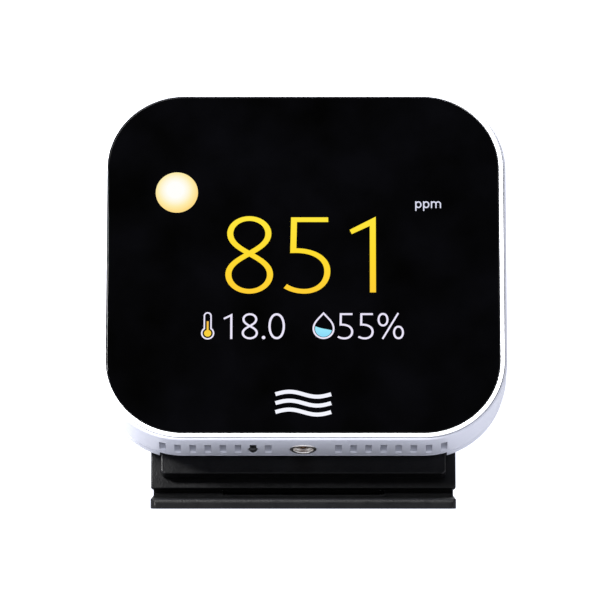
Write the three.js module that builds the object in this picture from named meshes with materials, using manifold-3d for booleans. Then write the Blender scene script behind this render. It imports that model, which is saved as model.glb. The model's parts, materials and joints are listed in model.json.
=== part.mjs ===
// Air quality monitor on a tilting desk stand.
//
// Millimetres, +Z up, the screen faces -Y. The origin is the centre of the foot's underside.
// The case is built in its own leaning frame: X to the right, Y from the glass (0) to the back,
// Z up the face, with the origin at the middle of the front plane.

import * as THREE from 'three';
import { mergeVertices } from 'three/addons/utils/BufferGeometryUtils.js';
import Module from 'manifold-3d';

const wasm = await Module();
wasm.setup();

// ---- Driving dimensions -------------------------------------------------------------------

const LEAN_DEG = 19.5; // how far the screen leans back
const GAP = 0.3; // clearance between neighbouring pieces
const FINE_GAP = 0.15; // clearance round pins and shanks

const CASE_WIDTH = 95.4;
const CASE_HEIGHT = 87.0;
const CASE_CORNER = 19.6;
const SHELL_FRONT = 0.35; // the shell's front edge sits just behind the bezel
const SHELL_BACK = 11.7;
const SHELL_WALL = 1.8;
const EDGE_ROUND = 0.8;

const GLASS_WIDTH = 92.0;
const GLASS_HEIGHT = 83.62;
const GLASS_CORNER = 17.9;
const GLASS_FRONT = 0.12;
const GLASS_THICK = 1.1;
const BEZEL_WIDTH = 0.9; // the white ring between glass and parting line
const BEZEL_DEPTH = 0.95;
const GLASS_CLEARANCE = 0.2;
const PARTING_LINE = 0.25;

const LEDGE_FRONT = 1.9; // the shell's front wall, which carries the glass
const LEDGE_BACK = 3.1;
const LCD_WIDTH = 84.7;
const LCD_HEIGHT = 54.7;

const COVER_INSET = 0.8; // the back cover is this much smaller all round
const COVER_FRONT = 12.9;
const COVER_BACK = 16.5;
const COVER_FLOOR = 1.5;
const COVER_ROUND = 1.5;
const TONGUE_FRONT = 10.9; // the cover's tongue inside the shell wall
const TONGUE_WALL = 1.3;

const RECESS_WIDTH = 67.4; // the pocket in the back for the mounting plate
const RECESS_TOP = 16.3;
const RECESS_FLOOR = 13.0;

const SLOT_PITCH = 3.53;
const SLOT_WIDTH = 1.55;
const SLOT_Y = [4.4, 9.9];
const SLOT_FIRST = 8.2; // centre of the slot nearest the middle
const SLOTS_A_SIDE = 8;
const BUTTON_X = -(SLOT_FIRST + SLOT_PITCH);
const BUTTON_Y = 7.5;
const BUTTON_RADIUS = 1.05;

const JACK_Y = 7.5;
const JACK_RADIUS = 3.1;
const JACK_BORE = 2.55;
const JACK_PIN_RADIUS = 0.9;
const JACK_NOTCH = 4.1;
const JACK_BACK = 11.15;

const STANDOFF_X = 38.0;
const STANDOFF_Z = 31.0;
const STANDOFF_RADIUS = 2.5;
const STANDOFF_BACK = 13.7;

const RIBBON_X = -22.0; // the display's flat cable, left of the jack
const RIBBON_WIDTH = 14.0;

const BOARD_FRONT = 6.4;
const BOARD_BACK = 8.0;

const PLATE_WIDTH = 66.8; // the mounting plate
const PLATE_Y = [13.3, 16.5];
const PLATE_Z = [-47.6, 15.9];

const UPRIGHT_WIDTH = 71.6;
const UPRIGHT_Y = [16.8, 20.4];
const UPRIGHT_TOP = 12.0;
const UPRIGHT_SKIRT = 1.43; // how far its front edge hangs below the hinge axis
const PLATE_SCREW_X = 20.0;
const PLATE_SCREW_Z = [-30.0, 2.0];

const HINGE_CASE_Y = 19.8; // the hinge axis in the case's frame
const HINGE_CASE_Z = -48.64;
const BARREL_RADIUS = 2.1;
const PIN_RADIUS = 1.0;
const BARREL_HALF = 35.2;
const CENTRE_KNUCKLE = 18.0; // half its length
const WASHER_THICK = 0.6;
const WASHER_RADIUS = 1.9;

const FOOT_WIDTH = 71.2;
const FOOT_DEPTH = 60.0;
const FOOT_BOTTOM = 0.05;
const FOOT_TOP = 2.4;
const FOOT_FRONT_TO_HINGE = 17.4;
const PAD_RADIUS = 4.0;
const PAD_TOP = 0.8;
const PAD_X = 28.0;
const PAD_Y = [-19.0, 23.0];

const HINGE_Y = -FOOT_DEPTH / 2 + FOOT_FRONT_TO_HINGE;
const HINGE_Z = FOOT_TOP + GAP + BARREL_RADIUS;

const CORNER_SEGMENTS = 5; // arcs get twice this many facets a quarter
const ROUND_SEGMENTS = 16;

// ---- Finishes -----------------------------------------------------------------------------

function finish(color, roughness, metalness = 0) {
  return new THREE.MeshStandardMaterial({ color, roughness, metalness });
}

const FINISH = {
  shell: finish(0xe4e6ec, 0.42),
  bezel: finish(0xf6f7fa, 0.3),
  cover: finish(0xdfe1e6, 0.5),
  glass: finish(0x020203, 0.06),
  stand: finish(0x111113, 0.6),
  black: finish(0x0b0b0c, 0.45),
  rubber: finish(0x1a1a1a, 0.9),
  nickel: finish(0xc9c5bd, 0.22, 1.0),
  brass: finish(0xb08a52, 0.3, 1.0),
  steel: finish(0x9a9ca0, 0.35, 1.0),
  board: finish(0x14502a, 0.5),
  chip: finish(0x18181a, 0.6),
  shield: finish(0xb8bbc0, 0.35, 1.0),
  lcd: finish(0x22252b, 0.25),
  diffuser: finish(0xf2f2ee, 0.6),
  bracket: finish(0xd8d8d4, 0.6),
  ribbon: finish(0xa8662a, 0.5),
  tape: finish(0x151515, 0.85),
};

// ---- Solid helpers ------------------------------------------------------------------------

function toSolid(geometry) {
  const bare = geometry.clone();
  bare.deleteAttribute('normal');
  bare.deleteAttribute('uv');
  const merged = mergeVertices(bare, 1e-5);
  return new wasm.Manifold(new wasm.Mesh({
    numProp: 3,
    vertProperties: new Float32Array(merged.attributes.position.array),
    triVerts: new Uint32Array(merged.index.array),
  }));
}

function toGeometry(solid) {
  const mesh = solid.getMesh();
  const geometry = new THREE.BufferGeometry();
  geometry.setAttribute('position', new THREE.BufferAttribute(mesh.vertProperties, 3));
  geometry.setIndex(new THREE.BufferAttribute(mesh.triVerts, 1));
  geometry.computeVertexNormals();
  return geometry;
}

function join(first, ...others) {
  return others.reduce((whole, piece) => whole.add(piece), first);
}

function cut(first, ...others) {
  return others.reduce((whole, piece) => whole.subtract(piece), first);
}

// A box given by its span along each axis.
function block([x0, x1], [y0, y1], [z0, z1]) {
  const box = new THREE.BoxGeometry(x1 - x0, y1 - y0, z1 - z0);
  box.translate((x0 + x1) / 2, (y0 + y1) / 2, (z0 + z1) / 2);
  return toSolid(box);
}

function roundedRect(width, height, radius) {
  const x = width / 2;
  const y = height / 2;
  const shape = new THREE.Shape();
  shape.moveTo(-x + radius, -y);
  shape.lineTo(x - radius, -y);
  shape.absarc(x - radius, -y + radius, radius, -Math.PI / 2, 0);
  shape.lineTo(x, y - radius);
  shape.absarc(x - radius, y - radius, radius, 0, Math.PI / 2);
  shape.lineTo(-x + radius, y);
  shape.absarc(-x + radius, y - radius, radius, Math.PI / 2, Math.PI);
  shape.lineTo(-x, -y + radius);
  shape.absarc(-x + radius, -y + radius, radius, Math.PI, Math.PI * 1.5);
  return shape;
}

// A rounded rectangle in the XZ plane, from y0 to y1, with its two faces' edges rounded by soft.
function slab(width, height, radius, [y0, y1], soft = 0) {
  const geometry = new THREE.ExtrudeGeometry(roundedRect(width, height, radius), {
    depth: y1 - y0 - 2 * soft,
    curveSegments: CORNER_SEGMENTS,
    bevelEnabled: soft > 0,
    bevelThickness: soft,
    bevelSize: soft,
    bevelOffset: -soft,
    bevelSegments: 2,
  });
  geometry.rotateX(Math.PI / 2);
  geometry.translate(0, y1 - soft, 0);
  return toSolid(geometry);
}

function cylinder(radius, length) {
  return new THREE.CylinderGeometry(radius, radius, length, ROUND_SEGMENTS);
}

function rodX([x0, x1], y, z, radius) {
  const geometry = cylinder(radius, x1 - x0);
  geometry.rotateZ(Math.PI / 2);
  geometry.translate((x0 + x1) / 2, y, z);
  return toSolid(geometry);
}

function rodY(x, [y0, y1], z, radius) {
  const geometry = cylinder(radius, y1 - y0);
  geometry.translate(x, (y0 + y1) / 2, z);
  return toSolid(geometry);
}

function rodZ(x, y, [z0, z1], radius) {
  const geometry = cylinder(radius, z1 - z0);
  geometry.rotateX(Math.PI / 2);
  geometry.translate(x, y, (z0 + z1) / 2);
  return toSolid(geometry);
}

function ball(x, y, z, radius) {
  const geometry = new THREE.SphereGeometry(radius, ROUND_SEGMENTS, 8);
  geometry.translate(x, y, z);
  return toSolid(geometry);
}

// The four combinations of plus and minus x with the given z values.
function corners(x, zValues) {
  return zValues.flatMap((z) => [[-x, z], [x, z]]);
}

// ---- Scene graph --------------------------------------------------------------------------

const monitor = new THREE.Group();
const foot = new THREE.Group();
const head = new THREE.Group();
const caseFrame = new THREE.Group();
head.position.set(0, HINGE_Y, HINGE_Z);
head.rotation.x = -THREE.MathUtils.degToRad(LEAN_DEG);
caseFrame.position.set(0, -HINGE_CASE_Y, -HINGE_CASE_Z);
head.add(caseFrame);
monitor.add(foot, head);

function place(group, name, solid, material) {
  const mesh = new THREE.Mesh(toGeometry(solid), material);
  mesh.name = name;
  group.add(mesh);
}

// ---- Front: glass, bezel and display ------------------------------------------------------

const ringInner = GLASS_WIDTH + 2 * GLASS_CLEARANCE;
const ringInnerHeight = GLASS_HEIGHT + 2 * GLASS_CLEARANCE;
const ringInnerCorner = GLASS_CORNER + GLASS_CLEARANCE;

function buildGlass() {
  const back = GLASS_FRONT + GLASS_THICK;
  return slab(GLASS_WIDTH, GLASS_HEIGHT, GLASS_CORNER, [GLASS_FRONT, back]);
}

function buildBezel() {
  const outer = slab(
    ringInner + 2 * BEZEL_WIDTH,
    ringInnerHeight + 2 * BEZEL_WIDTH,
    ringInnerCorner + BEZEL_WIDTH,
    [0, BEZEL_DEPTH],
  );
  return cut(outer, slab(ringInner, ringInnerHeight, ringInnerCorner, [-1, 2]));
}

// Double-sided tape between the glass and the shell's front wall.
function buildAdhesive() {
  const span = [GLASS_FRONT + GLASS_THICK + 0.1, LEDGE_FRONT - 0.1];
  const outer = slab(GLASS_WIDTH - 1.0, GLASS_HEIGHT - 1.0, GLASS_CORNER - 0.5, span);
  return cut(outer, block([-43.2, 43.2], [0, 3], [-29.0, 29.0]));
}

function buildLcd() {
  return slab(LCD_WIDTH, LCD_HEIGHT, 0.6, [1.5, 3.0]);
}

function buildBacklight() {
  const half = RIBBON_WIDTH / 2 + GAP;
  const ribbonRoom = block([RIBBON_X - half, RIBBON_X + half], [3, 5], [-30, -26.3]);
  return cut(slab(LCD_WIDTH - 2.0, LCD_HEIGHT - 2.0, 0.6, [3.3, 4.3]), ribbonRoom);
}

function buildLcdBracket() {
  const outer = slab(88.0, 57.0, 3.0, [4.6, 5.4]);
  const window = slab(70.0, 42.0, 2.0, [4.0, 6.0]);
  const tabs = corners(STANDOFF_X, [-STANDOFF_Z, STANDOFF_Z]).map(
    ([x, z]) => rodY(x, [4.0, 6.0], z, STANDOFF_RADIUS + GAP),
  );
  return cut(outer, window, ...tabs);
}

// The flat cable leaves the display's lower edge, turns back and meets its connector.
function buildRibbon() {
  const outline = new THREE.Shape();
  outline.moveTo(3.35, -26.7);
  outline.lineTo(3.35, -32.0);
  outline.lineTo(4.6, -32.0);
  outline.lineTo(4.6, -31.7);
  outline.lineTo(3.65, -31.7);
  outline.lineTo(3.65, -26.7);
  const geometry = new THREE.ExtrudeGeometry(outline, { depth: RIBBON_WIDTH, bevelEnabled: false });
  geometry.translate(0, 0, RIBBON_X - RIBBON_WIDTH / 2);
  // The outline is drawn as (depth, height) and the extrusion runs across the width.
  geometry.applyMatrix4(new THREE.Matrix4().set(0, 0, 1, 0, 1, 0, 0, 0, 0, 1, 0, 0, 0, 0, 0, 1));
  return toSolid(geometry);
}

place(caseFrame, 'cover_glass', buildGlass(), FINISH.glass);
place(caseFrame, 'front_bezel', buildBezel(), FINISH.bezel);
place(caseFrame, 'glass_adhesive', buildAdhesive(), FINISH.tape);
place(caseFrame, 'lcd_panel', buildLcd(), FINISH.lcd);
place(caseFrame, 'lcd_backlight', buildBacklight(), FINISH.diffuser);
place(caseFrame, 'lcd_bracket', buildLcdBracket(), FINISH.bracket);
place(caseFrame, 'lcd_ribbon', buildRibbon(), FINISH.ribbon);

// ---- Shell --------------------------------------------------------------------------------

const bottomWall = [-CASE_HEIGHT / 2 - 1, -CASE_HEIGHT / 2 + SHELL_WALL + 1];

function slotCentres() {
  const centres = [];
  for (let i = 0; i < SLOTS_A_SIDE; i += 1) {
    const x = SLOT_FIRST + i * SLOT_PITCH;
    centres.push(-x, x);
  }
  return centres;
}

function buildShell() {
  const outer = slab(
    CASE_WIDTH, CASE_HEIGHT, CASE_CORNER, [SHELL_FRONT, SHELL_BACK + 2], EDGE_ROUND,
  );
  const lip = BEZEL_WIDTH + PARTING_LINE;
  const bezelPocket = slab(
    ringInner + 2 * lip, ringInnerHeight + 2 * lip, ringInnerCorner + lip, [-1, 1.2],
  );
  const glassPocket = slab(ringInner, ringInnerHeight, ringInnerCorner, [-1, LEDGE_FRONT]);
  const window = slab(LCD_WIDTH + 1.3, LCD_HEIGHT + 2.3, 1.5, [0, LEDGE_BACK + 1]);
  const cavity = slab(
    CASE_WIDTH - 2 * SHELL_WALL,
    CASE_HEIGHT - 2 * SHELL_WALL,
    CASE_CORNER - SHELL_WALL,
    [LEDGE_BACK, SHELL_BACK + 3],
  );
  const beyondBack = block([-60, 60], [SHELL_BACK, SHELL_BACK + 5], [-60, 60]);
  const slots = slotCentres().map(
    (x) => block([x - SLOT_WIDTH / 2, x + SLOT_WIDTH / 2], SLOT_Y, bottomWall),
  );
  const buttonHole = rodZ(BUTTON_X, BUTTON_Y, bottomWall, BUTTON_RADIUS + 0.25);
  const jackHole = rodZ(0, JACK_Y, bottomWall, JACK_RADIUS + 0.2);
  const jackNotch = block([-JACK_NOTCH / 2, JACK_NOTCH / 2], [JACK_Y, SHELL_BACK + 1], bottomWall);
  const hollow = cut(
    outer, bezelPocket, glassPocket, window, cavity, beyondBack,
    ...slots, buttonHole, jackHole, jackNotch,
  );
  const standoffs = corners(STANDOFF_X, [-STANDOFF_Z, STANDOFF_Z]).map(([x, z]) => cut(
    rodY(x, [LEDGE_BACK - 0.5, STANDOFF_BACK], z, STANDOFF_RADIUS),
    rodY(x, [6.5, STANDOFF_BACK + 1], z, 1.0 + FINE_GAP),
  ));
  return join(hollow, ...standoffs);
}

place(caseFrame, 'front_shell', buildShell(), FINISH.shell);

// ---- Back cover ---------------------------------------------------------------------------

function buildCover() {
  const width = CASE_WIDTH - 2 * COVER_INSET;
  const height = CASE_HEIGHT - 2 * COVER_INSET;
  const corner = CASE_CORNER - COVER_INSET;
  const tongueInset = SHELL_WALL + GAP;
  const tongue = slab(
    CASE_WIDTH - 2 * tongueInset,
    CASE_HEIGHT - 2 * tongueInset,
    CASE_CORNER - tongueInset,
    [TONGUE_FRONT, COVER_FRONT + 0.5],
  );
  const tray = cut(
    slab(width, height, corner, [COVER_FRONT - 3, COVER_BACK], COVER_ROUND),
    block([-60, 60], [0, COVER_FRONT], [-60, 60]),
  );
  const innerInset = tongueInset + TONGUE_WALL;
  const hollow = slab(
    CASE_WIDTH - 2 * innerInset,
    CASE_HEIGHT - 2 * innerInset,
    CASE_CORNER - innerInset,
    [TONGUE_FRONT - 1, COVER_BACK - COVER_FLOOR],
  );
  const outline = slab(
    CASE_WIDTH - 2 * tongueInset,
    CASE_HEIGHT - 2 * tongueInset,
    CASE_CORNER - tongueInset,
    [0, COVER_BACK],
  );
  const half = RECESS_WIDTH / 2;
  const boss = block(
    [-half - COVER_FLOOR, half + COVER_FLOOR],
    [RECESS_FLOOR - COVER_FLOOR, COVER_BACK - 0.5],
    [-60, RECESS_TOP + COVER_FLOOR],
  ).intersect(outline);
  const recess = block([-half, half], [RECESS_FLOOR, COVER_BACK + 1], [-60, RECESS_TOP]);
  const hookSlots = [-1, 1].map((side) => block(
    [side * 16 - 4.5, side * 16 + 4.5], [13.3, 15.3], [RECESS_TOP - 1, RECESS_TOP + 3],
  ));
  const jackRoom = block([-5.2, 5.2], [TONGUE_FRONT - 1, 11.45], [-60, -30]);
  const pads = corners(STANDOFF_X, [-STANDOFF_Z, STANDOFF_Z]).map(
    ([x, z]) => rodY(x, [STANDOFF_BACK + GAP, COVER_BACK - 1], z, 3.2),
  );
  const screwHoles = corners(STANDOFF_X, [-STANDOFF_Z, STANDOFF_Z]).map(([x, z]) => join(
    rodY(x, [10, 20], z, 1.3),
    rodY(x, [14.9, 20], z, 2.3),
  ));
  const backVents = [];
  for (let x = -18; x <= 18; x += 4) {
    backVents.push(block([x - 0.8, x + 0.8], [14, 18], [25, 34]));
  }
  const body = join(cut(join(tray, tongue), hollow), boss, ...pads);
  return cut(body, recess, ...hookSlots, jackRoom, ...screwHoles, ...backVents);
}

place(caseFrame, 'back_cover', buildCover(), FINISH.cover);

// A countersunk-style screw with a cross recess, its head towards the back.
function buildScrew(x, z, headRadius, shankRadius, [tip, seat, top]) {
  const body = join(
    rodY(x, [tip, seat + 0.1], z, shankRadius),
    rodY(x, [seat, top], z, headRadius),
  );
  const arm = headRadius * 0.62;
  const slotHalf = 0.22;
  const depth = [top - 0.5, top + 1];
  return cut(
    body,
    block([x - arm, x + arm], depth, [z - slotHalf, z + slotHalf]),
    block([x - slotHalf, x + slotHalf], depth, [z - arm, z + arm]),
  );
}

corners(STANDOFF_X, [-STANDOFF_Z, STANDOFF_Z]).forEach(([x, z], i) => {
  place(caseFrame, `case_screw_${i + 1}`, buildScrew(x, z, 2.0, 1.0, [7.0, 15.1, 16.2]), FINISH.steel);
});

// ---- Electronics --------------------------------------------------------------------------

function buildMainBoard() {
  const board = slab(84.0, 68.0, 14.0, [BOARD_FRONT, BOARD_BACK]);
  const tab = block([RIBBON_X - 9, RIBBON_X + 9], [BOARD_FRONT, BOARD_BACK], [-34.0, -28.0]);
  const raised = join(board.translate([0, 0, 5.0]), tab);
  const holes = [-1, 1].map(
    (side) => rodY(side * STANDOFF_X, [5, 9], STANDOFF_Z, STANDOFF_RADIUS + GAP),
  );
  return cut(raised, ...holes);
}

function onBoard([x0, x1], height, z) {
  return block([x0, x1], [BOARD_BACK + 0.2, BOARD_BACK + 0.2 + height], z);
}

place(caseFrame, 'main_board', buildMainBoard(), FINISH.board);
place(caseFrame, 'ribbon_connector', block([RIBBON_X - 8, RIBBON_X + 8], [4.9, 6.2], [-33.2, -30.8]),
  FINISH.bracket);
place(caseFrame, 'wifi_module', onBoard([-34, -16], 2.6, [9, 34]), FINISH.shield);
place(caseFrame, 'processor', onBoard([-6, 6], 1.4, [-8, 4]), FINISH.chip);
place(caseFrame, 'buzzer', rodY(24, [8.2, 11.0], 24, 4.8), FINISH.black);
place(caseFrame, 'sensor_board', block([7, 34], [9.6, 10.6], [-39.6, -29.8]), FINISH.board);
place(caseFrame, 'co2_sensor', block([21, 31], [3.8, 9.4], [-39.4, -30.0]), FINISH.shield);
place(caseFrame, 'climate_sensor', block([12, 15], [8.4, 9.4], [-38.6, -35.6]), FINISH.chip);
place(caseFrame, 'sensor_header', block([9, 19], [8.3, 9.4], [-32.4, -30.2]), FINISH.black);

// ---- Power jack, in a cut-out open to the shell's rear edge -------------------------------

const jackMouth = -CASE_HEIGHT / 2 + 0.15;

function buildJackRing() {
  const span = [jackMouth, -34.0];
  return cut(rodZ(0, JACK_Y, span, JACK_RADIUS), rodZ(0, JACK_Y, [-50, -30], JACK_BORE));
}

function buildJackPin() {
  const tip = jackMouth + 0.9;
  return join(
    rodZ(0, JACK_Y, [tip, -32.6], JACK_PIN_RADIUS),
    ball(0, JACK_Y, tip, JACK_PIN_RADIUS),
  );
}

function buildJackBody() {
  const body = block([-4.6, 4.6], [3.4, JACK_BACK], [-41.2, -31.0]);
  const tongue = block([-1.85, 1.85], [JACK_Y + JACK_RADIUS, JACK_BACK], [jackMouth + 0.1, -41.0]);
  const ringRoom = rodZ(0, JACK_Y, [-50, -33.7], JACK_RADIUS + FINE_GAP);
  const pinRoom = rodZ(0, JACK_Y, [-50, -32.3], JACK_PIN_RADIUS + FINE_GAP);
  return cut(join(body, tongue), ringRoom, pinRoom);
}

place(caseFrame, 'power_jack_ring', buildJackRing(), FINISH.nickel);
place(caseFrame, 'power_jack_pin', buildJackPin(), FINISH.brass);
place(caseFrame, 'power_jack_body', buildJackBody(), FINISH.black);

// ---- Reset button -------------------------------------------------------------------------

function buildResetButton() {
  const dome = ball(BUTTON_X, BUTTON_Y, -CASE_HEIGHT / 2 + 0.3, BUTTON_RADIUS);
  const stem = rodZ(BUTTON_X, BUTTON_Y, [-CASE_HEIGHT / 2 + 0.3, -41.0], BUTTON_RADIUS);
  const web = block(
    [BUTTON_X - 0.5, BUTTON_X + 0.5], [SLOT_Y[0] + 0.3, BUTTON_Y], [-CASE_HEIGHT / 2 + 0.5, -41.0],
  );
  const flange = block([BUTTON_X - 1.4, BUTTON_X + 1.4], [4.0, 9.2], [-41.3, -40.6]);
  return join(dome, stem, web, flange);
}

function buildResetSwitch() {
  const body = block([BUTTON_X - 2.2, BUTTON_X + 2.2], [BUTTON_Y - 2.2, BUTTON_Y + 2.2], [-38.9, -35.9]);
  return join(body, rodZ(BUTTON_X, BUTTON_Y, [-39.8, -38.5], 0.9));
}

place(caseFrame, 'reset_button', buildResetButton(), FINISH.black);
place(caseFrame, 'reset_switch', buildResetSwitch(), FINISH.chip);

// ---- Mounting plate -----------------------------------------------------------------------

const plateScrews = corners(PLATE_SCREW_X, PLATE_SCREW_Z);

function buildMountPlate() {
  const height = PLATE_Z[1] - PLATE_Z[0];
  const plate = slab(PLATE_WIDTH, height, 1.2, PLATE_Y)
    .translate([0, 0, (PLATE_Z[0] + PLATE_Z[1]) / 2]);
  const hooks = [-1, 1].map((side) => block(
    [side * 16 - 4, side * 16 + 4], [13.7, 15.0], [PLATE_Z[1] - 2, PLATE_Z[1] + 2.6],
  ));
  const pilots = plateScrews.map(([x, z]) => rodY(x, [13.9, 18], z, 1.1 + FINE_GAP));
  return cut(join(plate, ...hooks), ...pilots);
}

place(caseFrame, 'mount_plate', buildMountPlate(), FINISH.stand);

// ---- Upright, with the hinge's centre knuckle ---------------------------------------------

function buildUpright() {
  const bottom = HINGE_CASE_Z - UPRIGHT_SKIRT;
  const height = UPRIGHT_TOP - bottom;
  const middle = (UPRIGHT_TOP + bottom) / 2;
  const plate = join(
    slab(UPRIGHT_WIDTH, height, 6.0, UPRIGHT_Y).translate([0, 0, middle]),
    slab(UPRIGHT_WIDTH, 20.0, 0.6, UPRIGHT_Y).translate([0, 0, bottom + 10]),
  );
  const outerX = UPRIGHT_WIDTH / 2 + 1;
  const knuckleRooms = [-1, 1].map((side) => {
    const span = side < 0 ? [-outerX, -CENTRE_KNUCKLE] : [CENTRE_KNUCKLE, outerX];
    return rodX(span, HINGE_CASE_Y, HINGE_CASE_Z, BARREL_RADIUS + GAP);
  });
  const knuckle = rodX([-CENTRE_KNUCKLE, CENTRE_KNUCKLE], HINGE_CASE_Y, HINGE_CASE_Z, BARREL_RADIUS);
  const bore = rodX([-40, 40], HINGE_CASE_Y, HINGE_CASE_Z, PIN_RADIUS + FINE_GAP);
  const screwRooms = plateScrews.map(([x, z]) => join(
    rodY(x, [16, 22], z, 1.5),
    rodY(x, [18.9, 22], z, 2.7),
  ));
  const frameRecess = slab(46.0, 16.0, 3.0, [19.4, 22]).translate([0, 0, -14]);
  return cut(join(cut(plate, ...knuckleRooms), knuckle), bore, ...screwRooms, frameRecess);
}

place(caseFrame, 'stand_upright', buildUpright(), FINISH.stand);

plateScrews.forEach(([x, z], i) => {
  place(caseFrame, `plate_screw_${i + 1}`, buildScrew(x, z, 2.4, 1.1, [14.2, 19.1, 20.2]), FINISH.steel);
});

// ---- Foot, with the hinge's outer knuckles ------------------------------------------------

const padPlaces = PAD_Y.flatMap((y) => [[-PAD_X, y], [PAD_X, y]]);

function buildFoot() {
  const shape = roundedRect(FOOT_WIDTH, FOOT_DEPTH, 2.0);
  const soft = 0.4;
  const geometry = new THREE.ExtrudeGeometry(shape, {
    depth: FOOT_TOP - FOOT_BOTTOM - 2 * soft,
    curveSegments: 3,
    bevelEnabled: true,
    bevelThickness: soft,
    bevelSize: soft,
    bevelOffset: -soft,
    bevelSegments: 2,
  });
  geometry.translate(0, 0, FOOT_BOTTOM + soft);
  const plate = toSolid(geometry);
  const inner = CENTRE_KNUCKLE + WASHER_THICK + 2 * 0.2;
  const knuckles = [-1, 1].map((side) => {
    const span = side < 0 ? [-BARREL_HALF, -inner] : [inner, BARREL_HALF];
    return join(
      rodX(span, HINGE_Y, HINGE_Z, BARREL_RADIUS),
      block(span, [HINGE_Y - 1.5, HINGE_Y + 1.5], [FOOT_TOP - 0.5, HINGE_Z]),
    );
  });
  const bore = rodX([-40, 40], HINGE_Y, HINGE_Z, PIN_RADIUS + FINE_GAP);
  const padRooms = padPlaces.map(([x, y]) => rodZ(x, y, [-1, PAD_TOP + 0.2], PAD_RADIUS + FINE_GAP));
  return cut(join(plate, ...knuckles), bore, ...padRooms);
}

place(foot, 'foot_plate', buildFoot(), FINISH.stand);
place(foot, 'hinge_pin', rodX([-BARREL_HALF + 0.4, BARREL_HALF - 0.4], HINGE_Y, HINGE_Z, PIN_RADIUS),
  FINISH.steel);

['left', 'right'].forEach((name, i) => {
  const side = i === 0 ? -1 : 1;
  const near = CENTRE_KNUCKLE + 0.2;
  const far = near + WASHER_THICK;
  const span = side < 0 ? [-far, -near] : [near, far];
  const washer = cut(
    rodX(span, HINGE_Y, HINGE_Z, WASHER_RADIUS),
    rodX([-40, 40], HINGE_Y, HINGE_Z, PIN_RADIUS + FINE_GAP),
  );
  place(foot, `friction_washer_${name}`, washer, FINISH.black);
});

padPlaces.forEach(([x, y], i) => {
  place(foot, `foot_pad_${i + 1}`, rodZ(x, y, [0, PAD_TOP], PAD_RADIUS), FINISH.rubber);
});

export default monitor;
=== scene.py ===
"""Looks, light and camera for an air quality monitor on a tilting desk stand.

Every piece is modelled in millimetres and placed in metres. The case and the stand's upright are
built in the case's own frame: X to the right, Y into the case from the bezel's front, Z up the
screen. The foot is built upright, in the row frame.
"""

import json
import math

import bmesh
import bpy
from mathutils import Matrix, Vector


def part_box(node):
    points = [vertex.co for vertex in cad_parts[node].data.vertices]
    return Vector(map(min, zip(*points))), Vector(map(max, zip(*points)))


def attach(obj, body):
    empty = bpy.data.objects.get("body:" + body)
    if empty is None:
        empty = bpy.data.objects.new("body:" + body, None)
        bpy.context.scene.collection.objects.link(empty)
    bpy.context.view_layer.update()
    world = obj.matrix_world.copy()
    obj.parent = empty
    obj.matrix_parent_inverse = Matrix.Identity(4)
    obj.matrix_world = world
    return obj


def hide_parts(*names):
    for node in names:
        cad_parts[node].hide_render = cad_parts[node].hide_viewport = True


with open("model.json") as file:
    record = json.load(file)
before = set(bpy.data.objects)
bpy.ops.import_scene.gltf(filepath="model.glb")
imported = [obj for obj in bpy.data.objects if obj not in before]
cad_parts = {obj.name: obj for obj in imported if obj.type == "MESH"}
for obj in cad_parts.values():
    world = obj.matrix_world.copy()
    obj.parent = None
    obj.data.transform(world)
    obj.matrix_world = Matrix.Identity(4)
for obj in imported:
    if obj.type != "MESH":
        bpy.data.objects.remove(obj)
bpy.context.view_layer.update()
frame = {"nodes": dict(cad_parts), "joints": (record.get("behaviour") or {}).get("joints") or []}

MM = 0.001

# ---- Frames and sizes taken from the CAD ------------------------------------------------------


def joint(name):
    return next(j for j in frame["joints"] if j["name"] == name)


def reach(node, direction):
    """How far a CAD node reaches along a direction, lowest and highest, in metres."""
    along = [v.co.dot(direction) for v in frame["nodes"][node].data.vertices]
    return min(along), max(along)


ACROSS = Vector((1, 0, 0))
UP = Vector(joint("reset_press")["axis"]).normalized()
INTO = Vector((0, UP.z, -UP.y))


def case_frame():
    low, high = reach("front_bezel", UP)
    front = reach("front_bezel", INTO)[0]
    turn = Matrix((ACROSS, INTO, UP)).transposed().to_4x4()
    return Matrix.Translation(INTO * front + UP * (low + high) / 2) @ turn


CASE = case_frame()
ROW = Matrix.Identity(4)


def case_box(node):
    """A CAD node's lowest and highest corner in the case's frame, in millimetres."""
    back = CASE.inverted()
    points = [back @ v.co / MM for v in frame["nodes"][node].data.vertices]
    low = Vector(min(p[i] for p in points) for i in range(3))
    high = Vector(max(p[i] for p in points) for i in range(3))
    return low, high


def row_box(node):
    low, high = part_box(node)
    return low / MM, high / MM


SHELL = case_box("front_shell")
GLASS = case_box("cover_glass")
BEZEL = case_box("front_bezel")
COVER = case_box("back_cover")
PLATE = case_box("mount_plate")
UPRIGHT = case_box("stand_upright")
FOOT = row_box("foot_plate")
HINGE = Vector(joint("stand_tilt")["pos_m"]) / MM
HINGE_IN_CASE = CASE.inverted() @ (HINGE * MM) / MM

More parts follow.
